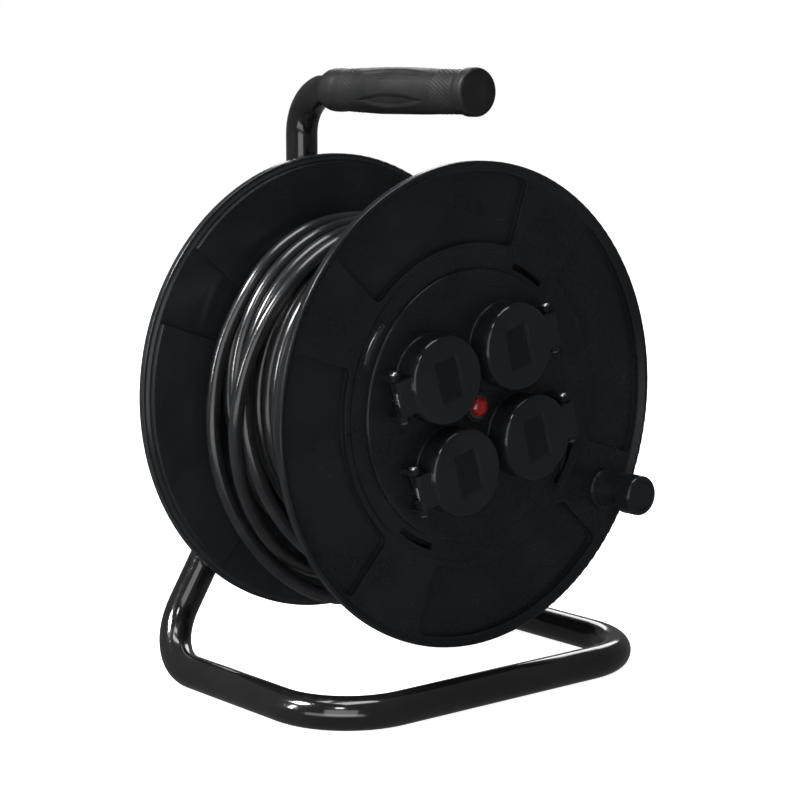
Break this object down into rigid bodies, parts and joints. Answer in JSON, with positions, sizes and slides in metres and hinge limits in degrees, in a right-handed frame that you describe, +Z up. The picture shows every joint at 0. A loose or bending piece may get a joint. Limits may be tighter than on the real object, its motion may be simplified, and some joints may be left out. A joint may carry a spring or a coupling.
{
  "type": "extension cord reel",
  "caption": "Black cable reel: a hand-cranked drum with lidded sockets in its front flange, wound with cable, on a bent tube stand with a carrying grip.",
  "frame": {"origin": "on the floor, at the middle of the bounding box seen from above, the winding, the hanging cable and the plug left out", "axes": "+Z up, +X to the right as seen from the front, -Y towards the sockets and the winding knob; the drum turns about Y"},
  "size_m": [0.29, 0.2002, 0.3742],
  "materials": {
    "black_lacquered_tube": "gloss",
    "grip_rubber": "satin",
    "black_plastic": "satin",
    "satin_black_plastic": "satin",
    "insert_plastic": "matte",
    "seal_rubber": "matte",
    "cable_rubber": "satin",
    "wire_sleeving": "satin",
    "steel": "zinc plated",
    "contact_brass": "satin",
    "pin_metal": "polished",
    "red_lens": "gloss",
    "bush_nylon": "satin"
  },
  "bodies": {
    "frame": {"frame_tube": "black_lacquered_tube", "handle_grip": "grip_rubber", "tube_end_cap": "black_plastic", "hub_clamp_front": "black_plastic", "hub_clamp_rear": "black_plastic", "clamp_screws": "steel", "clamp_nuts": "steel", "axle": "steel", "axle_washer": "steel", "axle_nut": "steel", "axle_clip": "steel", "thrust_washer": "bush_nylon"},
    "drum": {"front_flange": "black_plastic", "rear_flange": "black_plastic", "drum_core": "black_plastic", "front_bush": "bush_nylon", "rear_bush": "bush_nylon", "flange_screws": "steel", "socket_panel": "black_plastic", "panel_screws": "steel", "socket_insert_upper_left": "insert_plastic", "socket_insert_lower_left": "insert_plastic", "socket_insert_upper_right": "insert_plastic", "socket_insert_lower_right": "insert_plastic", "pin_contacts": "contact_brass", "earth_clips": "contact_brass", "live_busbar": "contact_brass", "neutral_busbar": "contact_brass", "earth_busbar": "contact_brass", "thermal_cutout": "insert_plastic", "cutout_ring": "satin_black_plastic", "reset_spring": "steel", "lid_pins": "steel", "lid_springs": "steel", "knob_pin": "steel", "knob_retainer": "steel", "cable_grommet": "cable_rubber", "cable_clamp": "black_plastic", "cable_clamp_screws": "steel", "terminal_block": "insert_plastic", "terminal_screws": "steel", "cable_inner_end": "cable_rubber", "inner_wires": "wire_sleeving", "wound_cable": "cable_rubber", "cable_tail": "cable_rubber", "plug_body": "cable_rubber", "plug_pins": "pin_metal", "plug_boot": "cable_rubber"},
    "knob": {"crank_knob": "satin_black_plastic", "knob_cap": "satin_black_plastic"},
    "lid_upper_left_body": {"lid_upper_left": "satin_black_plastic", "lid_seal_upper_left": "seal_rubber"},
    "lid_lower_left_body": {"lid_lower_left": "satin_black_plastic", "lid_seal_lower_left": "seal_rubber"},
    "lid_upper_right_body": {"lid_upper_right": "satin_black_plastic", "lid_seal_upper_right": "seal_rubber"},
    "lid_lower_right_body": {"lid_lower_right": "satin_black_plastic", "lid_seal_lower_right": "seal_rubber"},
    "reset": {"reset_button": "red_lens"}
  },
  "joints": [
    {"name": "drum_spin", "type": "hinge", "parent": "frame", "child": "drum", "pos_m": [0, 0.0028, 0.175], "axis": [0, -1, 0], "continuous": true},
    {"name": "knob_spin", "type": "hinge", "parent": "drum", "child": "knob", "pos_m": [0.10869, -0.0822, 0.11225], "axis": [0, -1, 0], "continuous": true},
    {"name": "lid_upper_left_hinge", "type": "hinge", "parent": "drum", "child": "lid_upper_left_body", "pos_m": [-0.06643, -0.0757, 0.18722], "axis": [0.2588, 0, -0.9659], "range_deg": [0, 115], "stiffness_Nm_per_rad": 0.02, "springref_deg": -20.05, "deforming": ["lid_springs"]},
    {"name": "lid_lower_left_hinge", "type": "hinge", "parent": "drum", "child": "lid_lower_left_body", "pos_m": [-0.05142, -0.0757, 0.1312], "axis": [0.2588, 0, -0.9659], "range_deg": [0, 115], "stiffness_Nm_per_rad": 0.02, "springref_deg": -20.05},
    {"name": "lid_upper_right_hinge", "type": "hinge", "parent": "drum", "child": "lid_upper_right_body", "pos_m": [0.05142, -0.0757, 0.2188], "axis": [-0.2588, 0, 0.9659], "range_deg": [0, 115], "stiffness_Nm_per_rad": 0.02, "springref_deg": -20.05},
    {"name": "lid_lower_right_hinge", "type": "hinge", "parent": "drum", "child": "lid_lower_right_body", "pos_m": [0.06643, -0.0757, 0.16278], "axis": [-0.2588, 0, 0.9659], "range_deg": [0, 115], "stiffness_Nm_per_rad": 0.02, "springref_deg": -20.05},
    {"name": "reset_push", "type": "slide", "parent": "drum", "child": "reset", "axis": [0, 1, 0], "range_m": [0, 0.003], "stiffness_N_per_m": 400, "springref_m": -0.002, "deforming": ["reset_spring"]}
  ]
}
